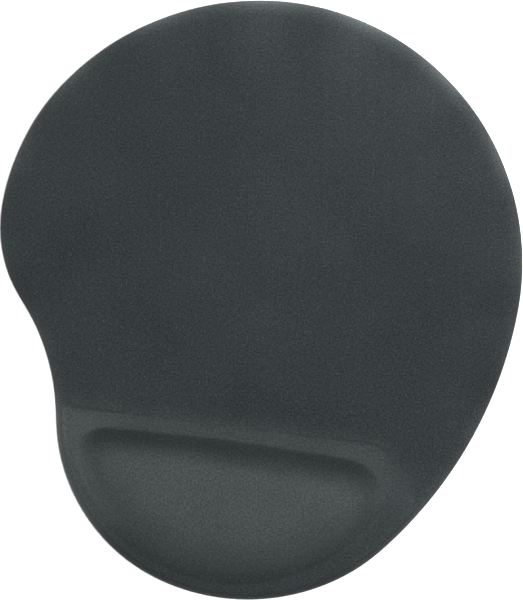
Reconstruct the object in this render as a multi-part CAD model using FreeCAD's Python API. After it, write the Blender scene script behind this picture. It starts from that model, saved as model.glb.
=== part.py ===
import FreeCAD, Part
import math
import os

# Mouse pad with a gel wrist rest, all in millimetres.
# The pad lies flat on the desk: +Z is up, +Y points away from the user and +X to the user's right.
# The origin is on the desk, under the middle of the pad's outline.

# Outline of the pad: one closed chain of tangent arcs, counterclockwise from its far edge.
# HEADINGS are the directions of travel where arcs meet, in degrees from +X, and RADII the arcs
# between them. A negative radius is the hollow waist on the left. The last two radii are worked
# out so that the chain closes.
PAD_START = (-0.5, 117.75)
PAD_HEADINGS = (180, 223, 261, 303, 270, 336, 385, 401, 439, 540)
PAD_RADII = (108, 91, 52, -84, 71, 82, 73)

# Foot of the gel dome, the same kind of chain: long far edge, left corner, near side, right end.
DOME_START = (35.7, -63.0)
DOME_HEADINGS = (169, 176, 287, 370, 412, 529)
DOME_RADII = (800, 10.5, 66)

# Raised shelf that the dome stands on: all of the pad on the user's side of a slanting line, with
# a rounded corner at its right end.
SHELF_LEFT_POINT = (-120.0, -35.4)
SHELF_CORNER = (47.5, -56.2)
SHELF_RIGHT_POINT = (74.0, -102.0)
SHELF_CORNER_RADIUS = 11.0
SHELF_NEAR_LIMIT = -130.0
SHELF_BRIM_RADIUS = 0.9

# Middle and height of the dome's crest, which is a long low ridge, and the ridge's heading in
# degrees. Across the ridge the profile is flat on top and steep at the foot, by the profile power.
# The ridge power keeps the sections long: 1 draws them in as much along the ridge as across it.
CREST = (-14.0, -75.5)
CREST_HEIGHT = 19.5
RIDGE_HEADING = -11.0
RIDGE_POWER = 0.28
PROFILE_POWER = 3.3
SECTION_RATIOS = (1.03, 1.0, 0.94, 0.86, 0.76, 0.64, 0.5, 0.36, 0.24, 0.15, 0.08, 0.03)
DOME_HALF_WIDTH = 25.0

# Thickness of each layer.
BASE_SHEET = 1.2
ADHESIVE = 0.2
SPONGE = 2.8
BOARD = 0.9
BASE_FILM = 0.2
TOP_FILM = 0.3
FABRIC = 0.6

# Edges: how far each layer stays inside the outline, and how the fabric rolls over the rim.
BASE_SHEET_INSET = 0.4
BASE_ADHESIVE_INSET = 1.6
SURFACE_ADHESIVE_INSET = 6.5
HEM_WIDTH = 7.0
PAD_EDGE_WIDTH = 6.0
PAD_EDGE_DROP = 2.9
SHELF_EDGE_WIDTH = 4.5
SHELF_EDGE_DROP = 4.1
EDGE_STEPS = 6

# Heights of the layers' faces above the desk.
SPONGE_BOTTOM = BASE_SHEET + ADHESIVE
SPONGE_TOP = SPONGE_BOTTOM + SPONGE
HEM_TOP = SPONGE_BOTTOM + FABRIC
PAD_INNER_TOP = SPONGE_TOP + ADHESIVE
PAD_TOP = PAD_INNER_TOP + FABRIC
BOARD_TOP = PAD_INNER_TOP + BOARD
BASE_FILM_TOP = BOARD_TOP + BASE_FILM
SHELF_INNER_TOP = BASE_FILM_TOP + TOP_FILM
SHELF_TOP = SHELF_INNER_TOP + FABRIC


def arc_chain(start, headings, radii):
    """Closed chain of tangent arcs: (centre x, centre y, radius, first heading, last heading)."""
    turns = [math.radians(h) for h in headings]
    steps = [
        (math.sin(b) - math.sin(a), math.cos(a) - math.cos(b))
        for a, b in zip(turns, turns[1:])
    ]
    gap_x = -sum(r * s[0] for r, s in zip(radii, steps))
    gap_y = -sum(r * s[1] for r, s in zip(radii, steps))
    (ax, ay), (bx, by) = steps[-2:]
    det = ax * by - bx * ay
    closing = ((gap_x * by - bx * gap_y) / det, (ax * gap_y - gap_x * ay) / det)
    arcs = []
    x, y = start
    for radius, first, last, step in zip(tuple(radii) + closing, turns, turns[1:], steps):
        centre_x = x - radius * math.sin(first)
        centre_y = y + radius * math.cos(first)
        arcs.append((centre_x, centre_y, radius, first, last))
        x += radius * step[0]
        y += radius * step[1]
    return arcs


PAD_ARCS = arc_chain(PAD_START, PAD_HEADINGS, PAD_RADII)
DOME_ARCS = arc_chain(DOME_START, DOME_HEADINGS, DOME_RADII)


def chain_wire(arcs, z, inset=0.0):
    """Wire of a chain at height z, moved inwards by inset."""
    edges = []
    for centre_x, centre_y, radius, first, last in arcs:
        reach = radius - inset
        points = []
        for heading in (first, (first + last) / 2, last):
            x = centre_x + reach * math.sin(heading)
            y = centre_y - reach * math.cos(heading)
            points.append(FreeCAD.Vector(x, y, z))
        edges.append(Part.Arc(*points).toShape())
    return Part.Wire(edges)


def edges_at(shape, z):
    """Edges of a shape that lie flat at height z."""
    return [
        edge for edge in shape.Edges
        if abs(edge.BoundBox.ZMin - z) < 1e-6 and abs(edge.BoundBox.ZMax - z) < 1e-6
    ]


def slab(low, high, inset=0.0, edge_width=0.0, edge_drop=0.0):
    """Pad-shaped plate between two heights, its upper rim rolled over as a quarter ellipse."""
    wall_top = high - edge_drop
    face = Part.Face(chain_wire(PAD_ARCS, low, inset))
    plate = face.extrude(FreeCAD.Vector(0, 0, wall_top - low))
    if edge_drop:
        angles = [math.pi / 2 * step / EDGE_STEPS for step in range(EDGE_STEPS + 1)]
        wires = [
            chain_wire(
                PAD_ARCS,
                wall_top + edge_drop * math.sin(angle),
                inset + edge_width * (1 - math.cos(angle)),
            )
            for angle in angles
        ]
        plate = plate.fuse(Part.makeLoft(wires, True, False)).removeSplitter()
    return plate


def shelf_prism(low, high, brim_radius=0.0, shrink=0.0):
    """Block over the user's side of the pad whose far wall is the step up to the shelf."""
    left = FreeCAD.Vector(SHELF_LEFT_POINT[0], SHELF_LEFT_POINT[1] - shrink, low)
    corner = FreeCAD.Vector(SHELF_CORNER[0] - shrink, SHELF_CORNER[1] - shrink, low)
    right = FreeCAD.Vector(SHELF_RIGHT_POINT[0] - shrink, SHELF_RIGHT_POINT[1] - shrink, low)
    along_far = (left - corner).normalize()
    along_side = (right - corner).normalize()
    half_angle = along_far.getAngle(along_side) / 2
    tangent = SHELF_CORNER_RADIUS / math.tan(half_angle)
    bisector = (along_far + along_side).normalize()
    centre = corner + bisector * (SHELF_CORNER_RADIUS / math.sin(half_angle))
    arc_start = corner + along_far * tangent
    arc_end = corner + along_side * tangent
    arc_middle = centre - bisector * SHELF_CORNER_RADIUS
    near_right = FreeCAD.Vector(right.x, SHELF_NEAR_LIMIT, low)
    near_left = FreeCAD.Vector(left.x, SHELF_NEAR_LIMIT, low)
    outline = Part.Wire([
        Part.makeLine(left, arc_start),
        Part.Arc(arc_start, arc_middle, arc_end).toShape(),
        Part.makeLine(arc_end, right),
        Part.makeLine(right, near_right),
        Part.makeLine(near_right, near_left),
        Part.makeLine(near_left, left),
    ])
    block = Part.Face(outline).extrude(FreeCAD.Vector(0, 0, high - low))
    if brim_radius:
        block = block.makeFillet(brim_radius, edges_at(block, high))
    return block


def dome_section(z, ratio, shrink):
    """Foot outline drawn in towards the crest, much less along the ridge than across it."""
    ridge = FreeCAD.Placement(
        FreeCAD.Vector(CREST[0], CREST[1], 0),
        FreeCAD.Rotation(FreeCAD.Vector(0, 0, 1), RIDGE_HEADING),
    )
    squeeze = FreeCAD.Matrix()
    squeeze.scale(shrink * ratio ** RIDGE_POWER, shrink * ratio, 1)
    matrix = ridge.toMatrix() * squeeze * ridge.inverse().toMatrix()
    return chain_wire(DOME_ARCS, z).transformGeometry(matrix)


def dome(foot_z, crest_z, inside):
    """Dome over the foot outline, its surface lying `inside` millimetres below the fabric's."""
    shrink = 1 - inside / DOME_HALF_WIDTH
    rise = crest_z - foot_z
    wires = [
        dome_section(foot_z + rise * (1 - ratio ** PROFILE_POWER), ratio, shrink)
        for ratio in SECTION_RATIOS
    ]
    return Part.makeLoft(wires, True, False)


def pad_block(high, inset):
    """The pad alone from the hem's underside up to height high, kept inset inwards."""
    return slab(SPONGE_BOTTOM, high, inset, PAD_EDGE_WIDTH - inset, PAD_EDGE_DROP - inset)


def shelf_block(high, inset):
    """The same as a plate of the shelf's height, to be cut down to the shelf's own area."""
    return slab(SPONGE_BOTTOM, high, inset, SHELF_EDGE_WIDTH - inset, SHELF_EDGE_DROP - inset)


def stepped_body(pad_high, shelf_high, inset, brim_radius):
    """Pad and raised shelf in one, from the hem's underside upwards, kept inset inwards."""
    pad = pad_block(pad_high, inset).cut(shelf_prism(SPONGE_BOTTOM, shelf_high, shrink=inset))
    step = shelf_prism(SPONGE_BOTTOM, shelf_high, brim_radius, inset)
    return pad.fuse(shelf_block(shelf_high, inset).common(step))


def outer_body():
    """Everything inside the fabric's outer face, from the hem upwards."""
    body = stepped_body(PAD_TOP, SHELF_TOP, 0.0, SHELF_BRIM_RADIUS)
    return body.fuse(dome(SHELF_TOP, CREST_HEIGHT, 0.0)).removeSplitter()


def flat_stack():
    """All the flat layers under the fabric: the pad's and, on the user's side, the shelf's."""
    return stepped_body(PAD_INNER_TOP, SHELF_INNER_TOP, FABRIC, 0.0)


def inner_body():
    """Everything that the fabric covers, which is the hollow of the cover."""
    return flat_stack().fuse(film_dome())


def film_dome():
    """Dome bounded by the outer face of the gel's top film."""
    return dome(SHELF_INNER_TOP, CREST_HEIGHT - FABRIC, FABRIC)


def level(shape, low, high):
    """Slice of a shape between two heights."""
    size = 400.0
    block = Part.makeBox(size, size, high - low, FreeCAD.Vector(-size / 2, -size / 2, low))
    return shape.common(block)


def hem_ring(low, high):
    """Flat ring just inside the rim, where the fabric is turned under."""
    return slab(low, high).cut(slab(low, high, HEM_WIDTH))


def base_sheet():
    """Non-slip sheet that lies on the desk."""
    return slab(0.0, BASE_SHEET, BASE_SHEET_INSET)


def base_adhesive():
    """Glue film between the base sheet and the sponge with the turned hem."""
    return slab(BASE_SHEET, SPONGE_BOTTOM, BASE_ADHESIVE_INSET)


def cover_fabric():
    """One piece of stretch knit over pad, shelf and dome, turned under along its hem."""
    hollow = inner_body().cut(hem_ring(SPONGE_BOTTOM, HEM_TOP))
    return outer_body().cut(hollow)


def hem_adhesive():
    """Ring of glue between the turned hem and the sponge."""
    top = HEM_TOP + ADHESIVE
    return level(flat_stack(), HEM_TOP, top).common(hem_ring(HEM_TOP, top))


def surface_core():
    """Sponge sheet under the whole cover, recessed below for the hem."""
    sponge = level(flat_stack(), SPONGE_BOTTOM, SPONGE_TOP)
    return sponge.cut(hem_ring(SPONGE_BOTTOM, HEM_TOP + ADHESIVE))


def surface_adhesive():
    """Glue film that holds the fabric on the sponge, all over the mousing area."""
    film = slab(SPONGE_TOP, PAD_INNER_TOP, SURFACE_ADHESIVE_INSET)
    return film.cut(shelf_prism(SPONGE_TOP, PAD_INNER_TOP))


def shelf_layer(low, high):
    """Layer of the shelf's stack between two heights, out to the rolled edge."""
    return shelf_block(SHELF_INNER_TOP, FABRIC).common(shelf_prism(low, high, shrink=FABRIC))


def board_adhesive():
    """Glue film between the sponge and the rest's backing board."""
    return shelf_layer(SPONGE_TOP, PAD_INNER_TOP)


def rest_backing_board():
    """Thin firm board under the gel, which lifts the shelf above the mousing area."""
    return shelf_layer(PAD_INNER_TOP, BOARD_TOP)


def gel_base_film():
    """Flat lower film of the gel bladder, welded to the top film all round the gel."""
    return shelf_layer(BOARD_TOP, BASE_FILM_TOP)


def gel_fill():
    """The soft gel itself."""
    whole = dome(BASE_FILM_TOP, CREST_HEIGHT - FABRIC - TOP_FILM, FABRIC + TOP_FILM)
    return whole.common(Part.makeBox(300, 300, 50, FreeCAD.Vector(-150, -150, BASE_FILM_TOP)))


def gel_top_film():
    """Formed upper film of the bladder: a dome over the gel with the welded flange round it."""
    flange = shelf_layer(BASE_FILM_TOP, SHELF_INNER_TOP)
    crown = film_dome().common(Part.makeBox(300, 300, 50, FreeCAD.Vector(-150, -150, BASE_FILM_TOP)))
    return flange.fuse(crown).cut(gel_fill())


PIECES = (
    base_sheet,
    base_adhesive,
    cover_fabric,
    hem_adhesive,
    surface_core,
    surface_adhesive,
    board_adhesive,
    rest_backing_board,
    gel_base_film,
    gel_fill,
    gel_top_film,
)

os.makedirs("parts", exist_ok=True)
for piece in PIECES:
    shape = piece()
    solids = shape.Solids
    box = shape.BoundBox
    print(
        f"{piece.__name__}: solids {len(solids)}, valid {shape.isValid()}, "
        f"volume {shape.Volume / 1000:.2f} cm3, z {box.ZMin:.2f} to {box.ZMax:.2f}"
    )
    kept = solids[0] if len(solids) == 1 else Part.makeCompound(solids)
    kept.exportStep(f"parts/{piece.__name__}.step")
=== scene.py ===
import math

import bpy
import numpy as np
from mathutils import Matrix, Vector
from mathutils.bvhtree import BVHTree
from mathutils.geometry import delaunay_2d_cdt


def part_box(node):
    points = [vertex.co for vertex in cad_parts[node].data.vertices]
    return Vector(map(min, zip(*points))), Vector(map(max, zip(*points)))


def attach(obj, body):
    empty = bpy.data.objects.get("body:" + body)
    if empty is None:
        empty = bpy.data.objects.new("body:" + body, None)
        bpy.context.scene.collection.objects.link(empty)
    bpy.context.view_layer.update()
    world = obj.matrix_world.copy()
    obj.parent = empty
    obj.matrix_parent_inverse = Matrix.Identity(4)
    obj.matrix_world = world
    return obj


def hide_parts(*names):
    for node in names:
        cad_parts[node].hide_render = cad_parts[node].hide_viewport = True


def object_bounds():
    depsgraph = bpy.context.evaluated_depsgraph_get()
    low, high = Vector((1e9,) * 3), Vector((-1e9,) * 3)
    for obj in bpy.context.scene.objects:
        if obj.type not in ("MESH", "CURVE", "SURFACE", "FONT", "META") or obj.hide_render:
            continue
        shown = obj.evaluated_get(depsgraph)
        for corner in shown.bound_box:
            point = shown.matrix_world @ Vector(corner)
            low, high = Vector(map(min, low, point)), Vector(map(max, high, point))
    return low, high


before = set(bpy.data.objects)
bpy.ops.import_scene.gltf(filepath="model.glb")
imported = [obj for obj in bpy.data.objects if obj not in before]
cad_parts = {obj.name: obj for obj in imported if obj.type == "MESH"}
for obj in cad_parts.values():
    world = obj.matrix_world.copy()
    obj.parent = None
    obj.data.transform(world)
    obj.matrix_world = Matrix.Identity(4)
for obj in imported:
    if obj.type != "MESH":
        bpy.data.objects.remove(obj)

CAD_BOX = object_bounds()
MM = 0.001

# ---------------------------------------------------------------- sizes of the visual model, metres
OUTLINE_STEP = 1.1 * MM
OUTLINE_SMOOTHING = 5.0 * MM
PAD_EDGE_WIDTH = 6.0 * MM
SHELF_EDGE_WIDTH = 4.5 * MM
RIM_PROBE = 0.2 * MM
RIM_CLIMB_SMOOTHING = 3.0 * MM
EDGE_CLEARANCE = 1.5 * MM
LINE_STEP = 0.5 * MM
LOOP_STEP = 1.0 * MM
LOOP_SMOOTHING = 1.5 * MM
HEM_WIDTH = 7.0 * MM
HEM_CORNER = 0.35 * MM
HEM_BEND = 0.29 * HEM_CORNER
HEM_ROWS = (HEM_WIDTH, 4.8 * MM, 2.8 * MM, 1.2 * MM, HEM_CORNER)
WALL_HEIGHT = 0.75 * MM
SHOULDER_STEPS = 9
FABRIC = 0.5 * MM
REST_SPACING = 0.95 * MM
PAD_SPACING = 2.6 * MM
REST_MARGIN = 9.0 * MM
BORDER_GAP = 0.6 * REST_SPACING
ROW_GAP = 0.55 * REST_SPACING

# ---------------------------------------------------------------- tolerances
RAY_START = 0.1
WELD = 0.002 * MM
FLATNESS = 0.01 * MM
MERGE = 0.01 * MM
CLOUD_MERGE = 0.001 * MM
POINTS_AT_A_TIME = 4000


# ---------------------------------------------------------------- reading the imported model
def node_arrays(name):
    """Vertices and polygons of a CAD node, in the shared frame."""
    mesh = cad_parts[name].data
    points = np.array([v.co for v in mesh.vertices], float)
    return points, [tuple(p.vertices) for p in mesh.polygons]


def tree_of(points, faces):
    return BVHTree.FromPolygons([Vector(p) for p in points], faces)


def node_tree(name):
    return tree_of(*node_arrays(name))


def heights(trees, points):
    """Highest surface of any of the trees above or below each (x, y) point."""
    down = Vector((0, 0, -1))
    found = []
    for x, y in points:
        hits = [tree.ray_cast(Vector((x, y, RAY_START)), down)[0] for tree in trees]
        levels = [hit.z for hit in hits if hit is not None]
        found.append(max(levels) if levels else np.nan)
    return np.array(found)


def flat_loops(name, z):
    """Closed outlines of a node's flat face at height z, longest first, each counterclockwise."""
    points, faces = node_arrays(name)
    keys = [tuple(np.round(p / WELD).astype(int)) for p in points]
    place = {key: point[:2] for key, point in zip(keys, points)}
    flat = [f for f in faces if max(abs(points[i][2] - z) for i in f) < FLATNESS]
    edges = set()
    for face in flat:
        for a, b in zip(face, face[1:] + face[:1]):
            edge = (keys[a], keys[b])
            if edge[::-1] in edges:
                edges.discard(edge[::-1])
            elif edge[0] != edge[1]:
                edges.add(edge)
    follows = dict(edges)
    loops = []
    while follows:
        key, after = follows.popitem()
        chain = [key]
        while after in follows:
            chain.append(after)
            after = follows.pop(after)
        loops.append(np.array([place[k] for k in chain]))
    return sorted((counterclockwise(loop) for loop in loops), key=length_of, reverse=True)


def signed_area(loop):
    """Area inside a loop, negative if the loop runs clockwise."""
    x, y = loop[:, 0], loop[:, 1]
    return np.sum(x * np.roll(y, -1) - np.roll(x, -1) * y) / 2


def counterclockwise(loop):
    return loop if signed_area(loop) > 0 else loop[::-1]


def length_of(loop):
    return np.linalg.norm(np.roll(loop, -1, axis=0) - loop, axis=1).sum()


def even_loop(loop, step, smoothing=0.0):
    """The loop walked in equal steps, with its facets smoothed out."""
    closed = np.vstack([loop, loop[:1]])
    walked = np.concatenate([[0], np.cumsum(np.linalg.norm(np.diff(closed, axis=0), axis=1))])
    count = int(round(walked[-1] / step))
    marks = np.linspace(0, walked[-1], count, endpoint=False)
    even = np.stack([np.interp(marks, walked, closed[:, k]) for k in (0, 1)], axis=1)
    return smooth_ring(even, smoothing / step)


def smooth_ring(values, width):
    """Values round a closed ring, averaged over a bell of the given width in steps."""
    if width <= 0:
        return values
    reach = int(math.ceil(width * 2))
    offsets = np.arange(-reach, reach + 1)
    weights = np.exp(-0.5 * (offsets / (width / 2)) ** 2)
    weights /= weights.sum()
    return sum(w * np.roll(values, k, axis=0) for w, k in zip(weights, offsets))


def inward(loop):
    """Unit normals that point into a counterclockwise loop."""
    along = np.roll(loop, -1, axis=0) - np.roll(loop, 1, axis=0)
    along /= np.linalg.norm(along, axis=1)[:, None]
    return np.stack([-along[:, 1], along[:, 0]], axis=1)


def inside(loop, points):
    """True for each point that lies in the loop, by counting crossings."""
    x, y = points[:, 0], points[:, 1]
    result = np.zeros(len(points), bool)
    for (ax, ay), (bx, by) in zip(loop, np.roll(loop, -1, axis=0)):
        spans = (ay > y) != (by > y)
        if spans.any():
            cross = ax + (y[spans] - ay) / (by - ay) * (bx - ax)
            result[spans] ^= x[spans] < cross
    return result


def distance_to(line, points):
    """Distance from each point to the nearest of a line's points."""
    parts = []
    for start in range(0, len(points), POINTS_AT_A_TIME):
        part = points[start:start + POINTS_AT_A_TIME]
        gaps = np.linalg.norm(part[:, None, :] - line[None, :, :], axis=2)
        parts.append(gaps.min(axis=1))
    return np.concatenate(parts)


# ---------------------------------------------------------------- meshes
def new_object(name, points, faces):
    """Smooth-shaded mesh object in the scene."""
    mesh = bpy.data.meshes.new(name)
    mesh.from_pydata([tuple(p) for p in points], [], [tuple(f) for f in faces])
    mesh.validate()
    mesh.update()
    obj = bpy.data.objects.new(name, mesh)
    bpy.context.collection.objects.link(obj)
    mesh.shade_smooth()
    return obj


def lattice(low, high, spacing):
    """Triangular lattice of points over a rectangle."""
    rows = np.arange(low[1], high[1], spacing * math.sqrt(3) / 2)
    points = []
    for k, y in enumerate(rows):
        xs = np.arange(low[0] + (k % 2) * spacing / 2, high[0], spacing)
        points.append(np.stack([xs, np.full(len(xs), y)], axis=1))
    return np.vstack(points)


def triangulate(ring, lines, points):
    """Triangles inside the ring. Returns points, faces and where the ring's points went."""
    coords = [Vector(p) for p in ring]
    edges = [(k, (k + 1) % len(ring)) for k in range(len(ring))]
    for line in lines:
        start = len(coords)
        coords += [Vector(p) for p in line]
        edges += [(start + k, start + k + 1) for k in range(len(line) - 1)]
    coords += [Vector(p) for p in points]
    found = delaunay_2d_cdt(coords, edges, [], 1, MERGE)
    flat, faces, origins = found[0], found[2], found[3]
    place = {}
    for index, sources in enumerate(origins):
        for source in sources:
            place[source] = index
    return np.array([tuple(p) for p in flat]), [tuple(f) for f in faces], place


def smooth_heights(points, faces, values, fixed, rounds):
    """Heights over a mesh, each drawn halfway to its neighbours' mean every round, some held."""
    pairs = set()
    for face in faces:
        for a, b in zip(face, face[1:] + face[:1]):
            pairs.add((min(a, b), max(a, b)))
    first, second = np.array(sorted(pairs)).T
    degree = np.bincount(first, minlength=len(points)) + np.bincount(second, minlength=len(points))
    values = values.copy()
    for _ in range(rounds):
        total = np.bincount(first, values[second], len(points))
        total += np.bincount(second, values[first], len(points))
        mean = total / np.maximum(degree, 1)
        values = np.where(fixed, values, values + 0.5 * (mean - values))
    return values


# ---------------------------------------------------------------- the cover's shape
COVER_TREE = node_tree("cover_fabric")
COVER_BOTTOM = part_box("cover_fabric")[0].z
OUTLINE = even_loop(flat_loops("cover_fabric", COVER_BOTTOM)[0], OUTLINE_STEP, OUTLINE_SMOOTHING)
INWARD = inward(OUTLINE)
UNDER_REST = ("gel_top_film", "surface_adhesive", "surface_core")
PAD_MIDDLE = (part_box("surface_adhesive")[0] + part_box("surface_adhesive")[1]) / 2
PAD_TOP = float(heights([COVER_TREE], [PAD_MIDDLE.xy])[0])
RIM_LEVELS = heights([COVER_TREE], OUTLINE + INWARD * (SHELF_EDGE_WIDTH + RIM_PROBE))
SHELF_TOP = float(RIM_LEVELS.max())
RIM_CLIMB = np.clip((RIM_LEVELS - PAD_TOP) / (SHELF_TOP - PAD_TOP), 0, 1)
SHELF_SHARE = smooth_ring(RIM_CLIMB, RIM_CLIMB_SMOOTHING / OUTLINE_STEP)
RIM_TOPS = PAD_TOP + SHELF_SHARE * (SHELF_TOP - PAD_TOP)
RIM_WIDTHS = PAD_EDGE_WIDTH + SHELF_SHARE * (SHELF_EDGE_WIDTH - PAD_EDGE_WIDTH)
INNER_RING = OUTLINE + INWARD * RIM_WIDTHS[:, None]


def step_line():
    """Foot of the step up to the shelf, from the left rim to the right one."""
    loop = even_loop(flat_loops("cover_fabric", PAD_TOP)[0], LINE_STEP)
    free = distance_to(OUTLINE, loop) > PAD_EDGE_WIDTH + EDGE_CLEARANCE
    start = int(np.argmax(free & ~np.roll(free, 1)))
    loop, free = np.roll(loop, -start, axis=0), np.roll(free, -start)
    return loop[free]


def foot_loop():
    """Foot of the gel dome on the shelf."""
    _, hole = flat_loops("cover_fabric", SHELF_TOP)[:2]
    return even_loop(hole, LINE_STEP, LOOP_SMOOTHING)


def shelf_loop():
    """Border of the board under the rest, which the fine part of the mesh covers."""
    return even_loop(flat_loops("rest_backing_board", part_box("rest_backing_board")[1].z)[0], LOOP_STEP)


STEP_LINE = step_line()
FOOT_LOOP = foot_loop()
SHELF_LOOP = shelf_loop()

# ---------------------------------------------------------------- draping the knit over the rest
DRAPE_SPACING = 1.6 * MM
DRAPE_SCALE = 20.0
DRAPE_FRAMES = 22
DRAPE_LIFT = 0.5 * MM
DRAPE_CAP = 1.2 * MM
DRAPE_CLEARANCE = 0.6 * MM
LONGEST_SIDE = 2.2 * DRAPE_SPACING
HELD_WIDTH = 1.6 * DRAPE_SPACING


def cloud_triangles(points):
    """Delaunay triangles over a cloud of points, without those that have a long side."""
    found = delaunay_2d_cdt([Vector(p) for p in points], [], [], 0, CLOUD_MERGE)
    faces = []
    for corners in found[2]:
        face = tuple(found[3][k][0] for k in corners)
        ends = points[list(face)]
        sides = np.linalg.norm(ends - np.roll(ends, 1, axis=0), axis=1)
        if sides.max() < LONGEST_SIDE:
            faces.append(face)
    return faces


def drape_region():
    """Points and triangles over the rest and a margin round it, and which points are held."""
    low = SHELF_LOOP.min(axis=0) - 2 * REST_MARGIN
    high = SHELF_LOOP.max(axis=0) + 2 * REST_MARGIN
    points = lattice(low, high, DRAPE_SPACING)
    points = points[inside(INNER_RING, points)]
    gap = np.where(inside(SHELF_LOOP, points), 0, distance_to(SHELF_LOOP, points))
    points, gap = points[gap < REST_MARGIN], gap[gap < REST_MARGIN]
    held = (distance_to(INNER_RING, points) < HELD_WIDTH) | (gap > REST_MARGIN - HELD_WIDTH)
    return points, cloud_triangles(points), held


def simulate(points, faces, former, start, held):
    """Cloth stretched and pressed on to the former. Returns its points where they settle."""
    solid = new_object("former", np.column_stack([points, former]) * DRAPE_SCALE, faces)
    solid.modifiers.new("Collision", "COLLISION")
    solid.collision.thickness_outer = DRAPE_CLEARANCE * DRAPE_SCALE / 2
    solid.collision.cloth_friction = 5
    first = np.column_stack([points, start]) * DRAPE_SCALE
    sheet = new_object("drape", first, faces)
    group = sheet.vertex_groups.new(name="held")
    group.add([int(k) for k in np.flatnonzero(held)], 1.0, "REPLACE")
    cloth = sheet.modifiers.new("Cloth", "CLOTH")
    cloth.settings.quality = 6
    cloth.settings.mass = 0.1
    cloth.settings.tension_stiffness = 15
    cloth.settings.compression_stiffness = 15
    cloth.settings.shear_stiffness = 8
    cloth.settings.bending_stiffness = 0.05
    cloth.settings.air_damping = 3
    cloth.settings.shrink_min = 0.01
    cloth.settings.vertex_group_mass = "held"
    cloth.settings.use_pressure = True
    cloth.settings.uniform_pressure_force = -60.0
    cloth.settings.effector_weights.gravity = 0
    cloth.collision_settings.distance_min = DRAPE_CLEARANCE * DRAPE_SCALE / 2
    cloth.collision_settings.collision_quality = 3
    scene = bpy.context.scene
    for number in range(1, DRAPE_FRAMES + 1):
        scene.frame_set(number)
    settled = sheet.evaluated_get(bpy.context.evaluated_depsgraph_get()).to_mesh()
    last = np.array([v.co for v in settled.vertices], float)
    scene.frame_set(1)
    for obj in (sheet, solid):
        bpy.data.objects.remove(obj, do_unlink=True)
    moved = np.clip((last - first) / DRAPE_SCALE, -DRAPE_CAP, DRAPE_CAP)
    return first / DRAPE_SCALE + moved


def draped_tree():
    """The settled knit over the rest, as a surface to measure heights from."""
    points, faces, held = drape_region()
    former = heights([node_tree(name) for name in UNDER_REST], points)
    start = heights([COVER_TREE], points)
    settled = simulate(points, faces, former, start + np.where(held, 0, DRAPE_LIFT), held)
    return tree_of(settled, faces)


# ---------------------------------------------------------------- the cover's mesh
CREASE_OFFSETS = (-1.1 * MM, -0.5 * MM, 0.0, 0.5 * MM, 1.1 * MM)
LONGEST_ROW = 400
STEP_CREASE_DEPTH = 0.24 * MM
STEP_BRIM_RISE = 0.15 * MM
FOOT_CREASE_DEPTH = 0.45 * MM
CREASE_HALF_WIDTH = 0.5 * MM
FOOT_HALF_WIDTH = 1.4 * CREASE_HALF_WIDTH
BRIM_OFFSET = 1.6 * MM
TOP_ROUNDS = 5
SOFT_ROUNDS = 22
SOFT_FACING = 0.85
SOFT_WIDTH = 6.0 * MM
SOFT_CLEARANCE = 0.55 * MM


def beside(line, offset, closed):
    """A line's points moved sideways, to its left for a positive offset."""
    if closed:
        return line + inward(line) * offset
    along = np.gradient(line, axis=0)
    along /= np.linalg.norm(along, axis=1)[:, None]
    return line + np.stack([-along[:, 1], along[:, 0]], axis=1) * offset


def crease_lines():
    """Rows of mesh points along both creases, so that they come out crisp."""
    lines = [beside(STEP_LINE, offset, False) for offset in CREASE_OFFSETS]
    for offset in CREASE_OFFSETS:
        loop = beside(FOOT_LOOP, offset, True)
        lines.append(np.vstack([loop, loop[:1]]))
    return [line[::2] if len(line) > LONGEST_ROW else line for line in lines]


def top_points(lines):
    """Fine lattice over the rest, coarse one over the flat mousing area."""
    low, high = INNER_RING.min(axis=0), INNER_RING.max(axis=0)
    fine = lattice(low, high, REST_SPACING)
    near = signed_distance(SHELF_LOOP, SHELF_LOOP, fine) > -REST_MARGIN
    coarse = lattice(low, high, PAD_SPACING)
    far = signed_distance(SHELF_LOOP, SHELF_LOOP, coarse) < -REST_MARGIN - PAD_SPACING / 2
    points = np.vstack([fine[near], coarse[far]])
    points = points[inside(INNER_RING, points)]
    points = points[distance_to(INNER_RING, points) > BORDER_GAP]
    rows = np.vstack(lines)
    return points[distance_to(rows, points) > ROW_GAP]


def signed_distance(line, region, points):
    """Distance to a line, positive on the side of a closed region."""
    return np.where(inside(region, points), 1, -1) * distance_to(line, points)


def dent(distance, width):
    """Bell-shaped share: 1 on the line, fading over the width."""
    return np.exp(-((distance / width) ** 2))


def foot_offsets(points):
    """Distance to the dome's foot, and how squarely the foot faces the mousing area there."""
    gaps = np.linalg.norm(points[:, None, :] - FOOT_LOOP[None, ::4, :], axis=2)
    outward = -inward(FOOT_LOOP)[::4][gaps.argmin(axis=1)]
    return gaps.min(axis=1), outward[:, 1]


def crease_heights(points):
    """What the pressed creases add to the knit's height."""
    step = distance_to(STEP_LINE, points)
    on_shelf = heights([COVER_TREE], points) > (PAD_TOP + SHELF_TOP) / 2
    brim = np.where(on_shelf, STEP_BRIM_RISE * dent(step - BRIM_OFFSET, BRIM_OFFSET / 2), 0)
    gap, facing = foot_offsets(points)
    foot = FOOT_CREASE_DEPTH * np.clip(facing, 0, 1) ** 2 * dent(gap, FOOT_HALF_WIDTH)
    return brim - STEP_CREASE_DEPTH * dent(step, CREASE_HALF_WIDTH) - foot


def soften_foot(flat, faces, levels, held):
    """Lets the knit span the foot in a soft hollow, except along the mousing area."""
    soft = smooth_heights(flat, faces, levels, held, SOFT_ROUNDS)
    gap, facing = foot_offsets(flat)
    share = np.clip((SOFT_FACING - facing) / SOFT_FACING, 0, 1) * dent(gap, SOFT_WIDTH)
    lowest = heights([node_tree(name) for name in UNDER_REST], flat) + SOFT_CLEARANCE
    return np.maximum(levels + share * (soft - levels), np.minimum(lowest, levels))


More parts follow.
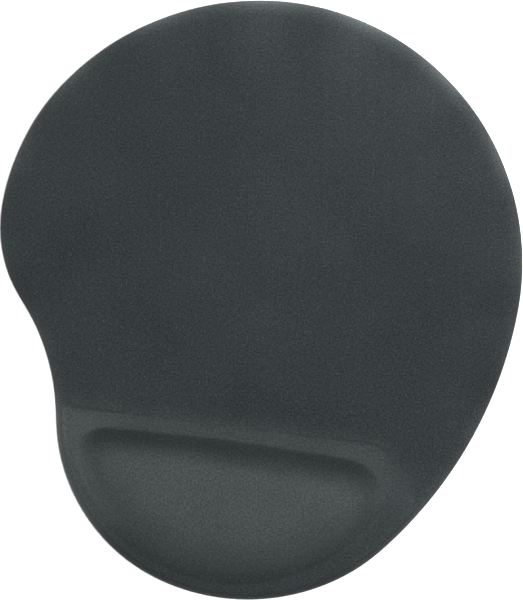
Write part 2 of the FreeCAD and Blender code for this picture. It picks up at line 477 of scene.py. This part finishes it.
def cover_top():
    """Points and faces of the knit inside the rolled edge, and its border's point numbers."""
    lines = crease_lines()
    flat, faces, place = triangulate(INNER_RING, lines, top_points(lines))
    levels = heights([COVER_TREE], flat)
    draped = heights([draped_tree()], flat)
    levels = np.where(np.isnan(draped), levels, draped)
    border = [place[k] for k in range(len(INNER_RING))]
    held = np.zeros(len(flat), bool)
    held[border] = True
    levels[border] = RIM_TOPS
    levels = smooth_heights(flat, faces, levels, held, TOP_ROUNDS)
    levels = soften_foot(flat, faces, levels, held)
    return np.column_stack([flat, levels + crease_heights(flat)]), faces, border


def edge_rows():
    """Rows of the turned hem, wall and rolled edge, from the hem's inner border upwards.

    Each row has its distance inside the outline and its height, at every point of the outline.
    """
    count = len(OUTLINE)
    rows = [(np.full(count, inset), np.full(count, COVER_BOTTOM)) for inset in HEM_ROWS]
    rows.append((np.full(count, HEM_BEND), np.full(count, COVER_BOTTOM + HEM_BEND)))
    rows.append((np.zeros(count), np.full(count, COVER_BOTTOM + HEM_CORNER)))
    wall_top = COVER_BOTTOM + WALL_HEIGHT
    for step in range(SHOULDER_STEPS):
        angle = math.pi / 2 * step / SHOULDER_STEPS
        inset = RIM_WIDTHS * (1 - math.cos(angle))
        rows.append((inset, wall_top + (RIM_TOPS - wall_top) * math.sin(angle)))
    return rows


def build_cover():
    """The knit cover: one sheet over everything, rolled over the rim and turned under.

    Returns it with the border of its cloth, laid flat.
    """
    top, faces, inner = cover_top()
    rows = edge_rows()
    count = len(OUTLINE)
    points, cut = [top], [top[:, :2]]
    spent = np.zeros(count)
    before = np.column_stack([RIM_WIDTHS, RIM_TOPS])
    for inset, level in reversed(rows):
        here = np.column_stack([inset, level])
        spent = spent + np.linalg.norm(here - before, axis=1)
        before = here
        points.append(np.column_stack([OUTLINE + INWARD * inset[:, None], level]))
        cut.append(INNER_RING - INWARD * spent[:, None])
    for row in range(len(rows)):
        outer = [len(top) + row * count + k for k in range(count)]
        for k in range(count):
            after = (k + 1) % count
            faces.append((inner[k], outer[k], outer[after], inner[after]))
        inner = outer
    points, cut = np.vstack(points), np.vstack(cut)
    cover = new_object("knit_cover", points, faces)
    add_attribute(cover, "cut", np.column_stack([cut, np.zeros(len(cut))]))
    # Share of the paler knit: partly stretched knit, partly painted light and shade on the shelf and
    # dome.
    add_attribute(cover, "stretch_and_painted_light", stretch_and_painted_light_share(points))
    thick = cover.modifiers.new("thickness", "SOLIDIFY")
    thick.thickness = FABRIC
    thick.offset = -1
    return cover, cut[-count:]


# Shares of the paler knit, set partly for stretching and partly as painted light and shade.
SHELF_STRETCH_AND_LIGHT = 0.47
STEP_STRETCH_AND_LIGHT_WIDTH = 1.6 * MM
FOOT_STRETCH_AND_LIGHT = 0.10
FOOT_STRETCH_AND_LIGHT_WIDTH = 0.7 * MM
END_STRETCH_AND_LIGHT = 0.62
END_STRETCH_AND_LIGHT_POWER = 1.1
CROWN_STRETCH_AND_LIGHT_POWER = 1.65


def ramp(distance, width):
    """Smooth share: 0 well outside a line, 1 well inside it."""
    return 1 / (1 + np.exp(-distance / width))


def stretch_and_painted_light_share(points):
    """Share of the paler, shinier look of stretched knit and of painted light: 0 on the pad, 1 on the
    dome's crest.

    The shares are chosen. They rise with height on the dome and towards its ends, and on
    the shelf they are larger on the side of the mousing area, which stretching alone doesn't explain.
    """
    flat = points[:, :2]
    facing = foot_offsets(flat)[1]
    step = signed_distance(STEP_LINE, SHELF_LOOP, flat)
    # Painted light and shade: the shelf is paler on the side facing the mousing area and darker on the
    # far side.
    shelf = SHELF_STRETCH_AND_LIGHT * np.clip(0.85 + 0.55 * facing, 0.2, 1.4) * ramp(step, STEP_STRETCH_AND_LIGHT_WIDTH)
    # On the dome, partly stretched knit and partly painted light and shade: paler on the crest and
    # towards the ends, darker down the slopes.
    crown = np.clip((points[:, 2] - SHELF_TOP) / (CAD_BOX[1].z - SHELF_TOP), 0, 1)
    foot = FOOT_STRETCH_AND_LIGHT + END_STRETCH_AND_LIGHT * (1 - np.abs(facing)) ** END_STRETCH_AND_LIGHT_POWER
    dome = foot + (1 - foot) * crown ** CROWN_STRETCH_AND_LIGHT_POWER
    on_dome = ramp(signed_distance(FOOT_LOOP, FOOT_LOOP, flat), FOOT_STRETCH_AND_LIGHT_WIDTH)
    return shelf + (dome - shelf) * on_dome


def add_attribute(obj, name, values):
    """Stores a number or a vector at each vertex, for the material to read."""
    kind = "FLOAT" if values.ndim == 1 else "FLOAT_VECTOR"
    layer = obj.data.attributes.new(name, kind, "POINT")
    layer.data.foreach_set("value" if values.ndim == 1 else "vector", values.astype(np.float32).ravel())


# ---------------------------------------------------------------- materials
class Graph:
    """Node tree of one material."""

    def __init__(self, name):
        self.material = bpy.data.materials.new(name)
        self.material.use_nodes = True
        self.tree = self.material.node_tree
        self.shader = next(n for n in self.tree.nodes if n.type == "BSDF_PRINCIPLED")

    def fill(self, socket, value):
        """Links another node's output to a socket, or sets the socket's own value."""
        if isinstance(value, bpy.types.NodeSocket):
            self.tree.links.new(value, socket)
        else:
            socket.default_value = value

    def node(self, kind, inputs=(), **settings):
        """New node, with its sockets filled by name or number and its own settings made."""
        made = self.tree.nodes.new(kind)
        for name, value in settings.items():
            setattr(made, name, value)
        for key, value in dict(inputs).items():
            self.fill(made.inputs[key], value)
        return made

    def math(self, operation, first, second=None, third=None):
        inputs = {k: v for k, v in enumerate((first, second, third)) if v is not None}
        return self.node("ShaderNodeMath", inputs, operation=operation).outputs[0]

    def noise(self, vector, size, detail=2.0, roughness=0.5):
        """Cloudy noise whose features are about the given size."""
        inputs = {"Vector": vector, "Scale": 1 / size, "Detail": detail, "Roughness": roughness}
        return self.node("ShaderNodeTexNoise", inputs).outputs[0]

    def span(self, value, low, high, new_low, new_high):
        """Maps low to high on to new_low to new_high, clamped."""
        inputs = {0: value, 1: low, 2: high, 3: new_low, 4: new_high}
        return self.node("ShaderNodeMapRange", inputs, clamp=True).outputs[0]

    def blend(self, share, first, second):
        made = self.node("ShaderNodeMix", {0: share, 6: first, 7: second}, data_type="RGBA")
        return made.outputs[2]

    def attribute(self, name):
        return self.node("ShaderNodeAttribute", attribute_name=name)

    def object_place(self):
        return self.node("ShaderNodeTexCoord").outputs["Object"]

    def surface(self, **values):
        """Fills the shader's sockets, named in lower case with underscores."""
        sockets = {s.name.lower().replace(" ", "_"): s for s in self.shader.inputs}
        for name, value in values.items():
            self.fill(sockets[name], value)
        return self.material

    def bump(self, height, distance, strength=1.0):
        inputs = {"Height": height, "Distance": distance, "Strength": strength}
        self.fill(self.shader.inputs["Normal"], self.node("ShaderNodeBump", inputs).outputs[0])


def grey(value, tint=(1.0, 1.0, 1.0)):
    """Colour of a given lightness, tinted."""
    return (value * tint[0], value * tint[1], value * tint[2], 1.0)


SLATE = (0.845, 1.0, 1.06)
# Tint of the paler knit: stretched knit, and painted light on the shelf and dome.
STRETCHED_AND_LIT_SLATE = (0.84, 1.0, 0.96)
KNIT_DARK = grey(0.0030, SLATE)
KNIT_LIGHT = grey(0.034, SLATE)
# Paler, lit copy of the knit: partly stretched knit, partly painted light.
STRETCHED_AND_LIT_DARK = grey(0.006, STRETCHED_AND_LIT_SLATE)
STRETCHED_AND_LIT_LIGHT = grey(0.062, STRETCHED_AND_LIT_SLATE)
WALE = 0.42 * MM
COURSE = 0.36 * MM
STITCH_LEAN = 1.4
GRAIN = 0.75 * MM
GRAIN_SHARE = 0.72
HEATHER = 2.2 * MM
HEATHER_SHARE = 0.22
CLOUD = 28 * MM
CLOUD_SHARE = 0.32
YARN_SHARE = 0.12
KNIT_RELIEF = 0.14 * MM
FLECK = grey(0.10, (0.95, 1.0, 1.0))
FLECK_SPACING = 0.9 * MM
FLECK_RADIUS = 0.2
FLECK_COUNT = 0.12
FLECK_STRENGTH = 0.5
SHINE_FLAT = 0.20
SHINE_STRETCHED = 0.46


def stitches(g, cut):
    """Height of the yarn: columns of V stitches, a groove between each column and the next."""
    parts = g.node("ShaderNodeSeparateXYZ", {0: cut}).outputs
    wale = g.math("FRACT", g.math("DIVIDE", parts[0], WALE))
    side = g.math("ABSOLUTE", g.math("SUBTRACT", wale, 0.5))
    row = g.math("ADD", g.math("DIVIDE", parts[1], COURSE), g.math("MULTIPLY", side, STITCH_LEAN))
    stitch = g.math("SINE", g.math("MULTIPLY", row, 2 * math.pi))
    groove = g.math("SINE", g.math("MULTIPLY", wale, math.pi))
    return g.math("MULTIPLY_ADD", stitch, 0.25, g.math("MULTIPLY", groove, 0.6))


def flecks(g, cut):
    """How much of a pale fibre shows: small round flecks in a few cells of a scatter."""
    inputs = {"Vector": cut, "Scale": 1 / FLECK_SPACING}
    cell = g.node("ShaderNodeTexVoronoi", inputs, feature="F1").outputs
    chance = g.node("ShaderNodeSeparateColor", {0: cell["Color"]}).outputs[0]
    pick = g.math("LESS_THAN", chance, FLECK_COUNT)
    near = g.math("LESS_THAN", cell["Distance"], FLECK_RADIUS)
    return g.math("MULTIPLY", g.math("MULTIPLY", pick, near), FLECK_STRENGTH)


def knit_material():
    """Fine elastic jersey: V stitches, heathered yarn, a few flecks, a broad, dull shine, and painted
    light and shade on the shelf and dome.
    """
    g = Graph("knit_fabric")
    cut = g.attribute("cut").outputs["Vector"]
    # Share of the paler knit: partly stretched knit, partly painted light and shade.
    stretch_and_painted_light = g.attribute("stretch_and_painted_light").outputs["Fac"]
    yarn = stitches(g, cut)
    grain = g.noise(cut, GRAIN, 3.0, 0.75)
    heather = g.noise(cut, HEATHER)
    cloud = g.noise(cut, CLOUD, 3.0, 0.55)
    tone = g.math("MULTIPLY", heather, HEATHER_SHARE)
    tone = g.math("MULTIPLY_ADD", g.span(grain, 0.36, 0.66, 0, 1), GRAIN_SHARE, tone)
    tone = g.math("MULTIPLY_ADD", g.math("SUBTRACT", cloud, 0.5), CLOUD_SHARE, tone)
    tone = g.math("MULTIPLY_ADD", yarn, YARN_SHARE, tone)
    plain = g.blend(tone, KNIT_DARK, KNIT_LIGHT)
    # Paler copy of the knit, used where the knit is stretched and as painted light and shade.
    pulled_and_lit = g.blend(tone, STRETCHED_AND_LIT_DARK, STRETCHED_AND_LIT_LIGHT)
    g.bump(g.math("MULTIPLY_ADD", grain, 0.7, yarn), KNIT_RELIEF, 0.7)
    return g.surface(
        base_color=g.blend(flecks(g, cut), g.blend(stretch_and_painted_light, plain, pulled_and_lit), FLECK),
        roughness=g.span(grain, 0.3, 0.7, 0.78, 0.68),
        sheen_weight=0.03,
        sheen_roughness=0.5,
        sheen_tint=(0.80, 0.92, 0.95, 1.0),
        specular_ior_level=g.span(stretch_and_painted_light, 0, 1, SHINE_FLAT, SHINE_STRETCHED),
        specular_tint=(0.84, 1.0, 1.04, 1.0),
    )


def rubber_material(name, colour, pitch):
    """Matt black rubber with a fine pressed grip of small diamonds."""
    g = Graph(name)
    place = g.object_place()
    parts = g.node("ShaderNodeSeparateXYZ", {0: place}).outputs
    ridges = []
    for operation in ("ADD", "SUBTRACT"):
        slant = g.math(operation, parts[0], parts[1])
        ridges.append(g.math("SINE", g.math("MULTIPLY", slant, 2 * math.pi / pitch)))
    grip = g.math("MAXIMUM", ridges[0], ridges[1])
    dust = g.noise(place, 2.5 * MM, 4.0, 0.6)
    g.bump(g.math("MULTIPLY_ADD", dust, 0.15, grip), 0.25 * MM, 0.8)
    tone = g.blend(g.span(dust, 0.35, 0.75, 0, 1), colour, grey(0.045))
    return g.surface(base_color=tone, roughness=g.span(dust, 0.3, 0.7, 0.62, 0.8))


def foam_material(name, dark, light, pore):
    """Cut foam: round pores of mixed size over a slightly mottled ground."""
    g = Graph(name)
    place = g.object_place()
    pores = g.node("ShaderNodeTexVoronoi", {"Vector": place, "Scale": 1 / pore}).outputs["Distance"]
    mottle = g.noise(place, 6 * MM, 3.0, 0.6)
    tone = g.math("MULTIPLY_ADD", mottle, 0.5, g.math("MULTIPLY", pores, 0.6))
    g.bump(pores, 0.2 * MM, 0.8)
    roughness = g.span(mottle, 0.3, 0.7, 0.8, 0.95)
    return g.surface(base_color=g.blend(tone, dark, light), roughness=roughness)


def board_material():
    """Firm white board with faint calendering streaks."""
    g = Graph("board")
    inputs = {0: g.object_place(), 1: (1.0, 0.06, 1.0)}
    drawn_out = g.node("ShaderNodeVectorMath", inputs, operation="MULTIPLY").outputs[0]
    streaks = g.noise(drawn_out, 0.8 * MM, 3.0, 0.6)
    g.bump(streaks, 0.05 * MM, 0.5)
    tone = g.blend(streaks, grey(0.62), grey(0.76, (1.0, 1.0, 0.96)))
    return g.surface(base_color=tone, roughness=g.span(streaks, 0.3, 0.7, 0.45, 0.6))


def clear_material(name, colour, roughness, transmission, ripple):
    """Clear film or gel, faintly cloudy, with a slightly rippled skin."""
    g = Graph(name)
    place = g.object_place()
    cloud = g.noise(place, 9 * MM, 3.0, 0.55)
    g.bump(g.noise(place, 3 * MM, 2.0, 0.5), ripple, 0.5)
    tone = g.blend(cloud, colour, grey(0.85, (0.94, 0.98, 1.0)))
    g.surface(base_color=tone, roughness=g.span(cloud, 0.3, 0.7, roughness, roughness + 0.12))
    return g.surface(transmission_weight=transmission, ior=1.42)


def glue_material():
    """Dry glue film, yellowish, with brushed streaks."""
    g = Graph("adhesive")
    place = g.object_place()
    streaks = g.noise(place, 4 * MM, 4.0, 0.65)
    g.bump(streaks, 0.06 * MM, 0.6)
    tone = g.blend(streaks, grey(0.55, (1.0, 0.93, 0.72)), grey(0.78, (1.0, 0.97, 0.85)))
    return g.surface(base_color=tone, roughness=g.span(streaks, 0.3, 0.7, 0.3, 0.55))


def dress(node, material):
    """Gives a carried-over CAD node its finish."""
    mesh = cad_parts[node].data
    mesh.materials.clear()
    mesh.materials.append(material)


# ---------------------------------------------------------------- gel cushion
GEL_SPACING = 1.5 * MM
GEL_EDGE = 0.4 * MM
GEL_BORDER_GAP = 0.7 * GEL_SPACING
GEL_ROUNDS = 3


def build_gel():
    """The gel in its bladder: a smooth crowned cushion on a flat base."""
    low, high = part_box("gel_fill")
    ring = even_loop(flat_loops("gel_fill", low.z)[0], LOOP_STEP, LOOP_SMOOTHING)
    border = ring + inward(ring) * GEL_EDGE
    points = lattice(low.xy, high.xy, GEL_SPACING)
    points = points[inside(border, points)]
    points = points[distance_to(border, points) > GEL_BORDER_GAP]
    flat, faces, place = triangulate(border, [], points)
    levels = heights([node_tree("gel_fill")], flat)
    held = np.zeros(len(flat), bool)
    held[[place[k] for k in range(len(border))]] = True
    levels = smooth_heights(flat, faces, levels, held, GEL_ROUNDS)
    count, base = len(ring), len(flat)
    top = np.column_stack([flat, levels])
    foot = np.column_stack([ring, np.full(count, low.z + GEL_EDGE / 2)])
    bottom = np.column_stack([flat, np.full(base, low.z)])
    sides = []
    for k in range(count):
        after = (k + 1) % count
        edge, edge_after = place[k], place[after]
        sides.append((edge, base + k, base + after, edge_after))
        under, under_after = base + count + edge, base + count + edge_after
        sides.append((base + k, under, under_after, base + after))
    underside = [tuple(base + count + i for i in reversed(face)) for face in faces]
    return new_object("gel_cushion", np.vstack([top, foot, bottom]), faces + sides + underside)


# ---------------------------------------------------------------- studio
FLOOR_SIZE = 6.0
FLOOR_GAP = 0.02 * MM
FLOOR_GLOW = (0.25, 0.8)
CAMERA_HEIGHT = 1.5
FOCUS_HEIGHT = 2 * MM
SENSOR = 36.0
FRAME_ASPECT = 600 / 523
FRAME_MARGIN = 1.0015


def build_floor():
    """White floor, which glows of itself away from the pad so that it stays white in every view."""
    reach = FLOOR_SIZE / 2
    corners = [(-reach, -reach), (reach, -reach), (reach, reach), (-reach, reach)]
    points = [(x, y, CAD_BOX[0].z - FLOOR_GAP) for x, y in corners]
    floor = new_object("floor", points, [(0, 1, 2, 3)])
    g = Graph("pale_floor")
    tone = g.noise(g.object_place(), 1 / 3, 3.0, 0.5)
    away = g.node("ShaderNodeVectorMath", {0: g.object_place()}, operation="LENGTH").outputs["Value"]
    floor.data.materials.append(g.surface(
        base_color=g.blend(tone, grey(0.90), grey(0.93)),
        roughness=g.span(tone, 0.3, 0.7, 0.75, 0.85),
        emission_color=grey(1.0),
        emission_strength=g.span(away, *FLOOR_GLOW, 0.0, 1.0),
    ))


def area_light(name, place, target, size, power, colour=(1.0, 1.0, 1.0)):
    """Soft lamp aimed at a point, hidden from the camera. Returns its data."""
    data = bpy.data.lights.new(name, "AREA")
    data.shape = "RECTANGLE"
    data.size, data.size_y = size
    data.energy = power
    data.color = colour
    light = bpy.data.objects.new(name, data)
    light.location = place
    light.rotation_euler = (Vector(target) - Vector(place)).to_track_quat("-Z", "Y").to_euler()
    light.visible_camera = False
    bpy.context.collection.objects.link(light)
    return data


SOFTBOX_PLACE = (0.10, -0.04, 0.85)
SOFTBOX_SIZE = (0.26, 0.26)
SOFTBOX_WATTS = 12.0
# heading round the pad in degrees, power in milliwatts
STRIPS = (
    (0, 1.3),
    (20, 3.0),
    (40, 4.8),
    (60, 7.6),
    (80, 8.2),
    (100, 5.2),
    (120, 2.7),
    (140, 2.6),
    (160, 1.3),
    (180, 0.4),
    (200, 1.6),
    (220, 2.3),
    (302, 1.1),
    (320, 1.4),
    (340, 0.9),
)
STRIP_SIZE = (55 * MM, 4 * MM)
STRIP_SPREAD = math.radians(24)
STRIP_TILT = math.radians(12)
LAMP_REACH = 48 * MM
FILL_HEADING = 45
FILL_HEIGHT = 6 * MM
FILL_SIZE = (50 * MM, 10 * MM)
FILL_WATTS = 0.016
AMBIENT = 0.06
SURROUND = (0.97, 0.99, 1.0, 1.0)
COOL_WHITE = (0.84, 0.95, 1.0)
WARM_WHITE = (1.0, 0.96, 0.92)


def build_surround():
    """Dim even light from all round, which the camera sees as white."""
    world = bpy.data.worlds.new("studio")
    world.use_nodes = True
    background = world.node_tree.nodes["Background"]
    background.inputs["Color"].default_value = SURROUND
    path = world.node_tree.nodes.new("ShaderNodeLightPath")
    strength = world.node_tree.nodes.new("ShaderNodeMath")
    strength.operation = "ADD"
    strength.inputs[1].default_value = AMBIENT
    world.node_tree.links.new(path.outputs["Is Camera Ray"], strength.inputs[0])
    world.node_tree.links.new(strength.outputs[0], background.inputs["Strength"])
    bpy.context.scene.world = world


def rim_point(heading):
    """Point on the rim in a direction from the middle of the pad, and the way outwards there."""
    headings = np.degrees(np.arctan2(OUTLINE[:, 1], OUTLINE[:, 0])) % 360
    nearest = np.argmin(np.abs(headings - heading))
    return Vector((*OUTLINE[nearest], PAD_TOP)), Vector((*-INWARD[nearest], 0.0))


def build_lights():
    """Softbox overhead, and small lamps lying low around the pad, strongest beyond its far edge."""
    area_light("softbox", SOFTBOX_PLACE, (0.0, 0.0, 0.0), SOFTBOX_SIZE, SOFTBOX_WATTS)
    strip_lift = Vector((0, 0, LAMP_REACH * math.tan(STRIP_TILT)))
    for heading, milliwatts in STRIPS:
        rim, way = rim_point(heading)
        place = rim + way * LAMP_REACH + strip_lift
        strip = area_light(f"strip_{heading}", place, rim, STRIP_SIZE, milliwatts / 1000, WARM_WHITE)
        strip.spread = STRIP_SPREAD
    rim, way = rim_point(FILL_HEADING)
    place = rim + way * LAMP_REACH + Vector((0, 0, FILL_HEIGHT))
    area_light("fill", place, rim, FILL_SIZE, FILL_WATTS, COOL_WHITE)


def build_camera():
    """Straight above the pad, which fills the frame from edge to edge."""
    low, high = OUTLINE.min(axis=0), OUTLINE.max(axis=0)
    middle = (low + high) / 2
    tall = max(high[1] - low[1], (high[0] - low[0]) * FRAME_ASPECT) * FRAME_MARGIN
    data = bpy.data.cameras.new("camera")
    data.sensor_fit = "AUTO"
    data.sensor_width = SENSOR
    data.lens = SENSOR * CAMERA_HEIGHT / tall
    data.clip_start = 0.05
    camera = bpy.data.objects.new("camera", data)
    camera.location = (middle[0], middle[1], CAD_BOX[0].z + FOCUS_HEIGHT + CAMERA_HEIGHT)
    bpy.context.collection.objects.link(camera)
    bpy.context.scene.camera = camera
    bpy.context.scene.view_settings.view_transform = "Standard"


# ---------------------------------------------------------------- assembly
build_camera()
build_surround()
build_lights()
build_floor()

cover, cut_border = build_cover()
cover.data.materials.append(knit_material())
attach(cover, "root")
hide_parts("cover_fabric")

gel = build_gel()
gel.data.materials.append(clear_material("gel", grey(0.6, (0.85, 0.95, 1.0)), 0.08, 0.8, 0.05 * MM))
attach(gel, "root")
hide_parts("gel_fill")

film = clear_material("film", grey(0.8), 0.15, 0.6, 0.03 * MM)
glue = glue_material()
dress("base_sheet", rubber_material("base_rubber", grey(0.018), 3.0 * MM))
dress("surface_core", foam_material("sponge", grey(0.012), grey(0.035), 0.5 * MM))
dress("rest_backing_board", board_material())
dress("gel_base_film", film)
dress("gel_top_film", film)
for node in ("base_adhesive", "hem_adhesive", "surface_adhesive", "board_adhesive"):
    dress(node, glue)
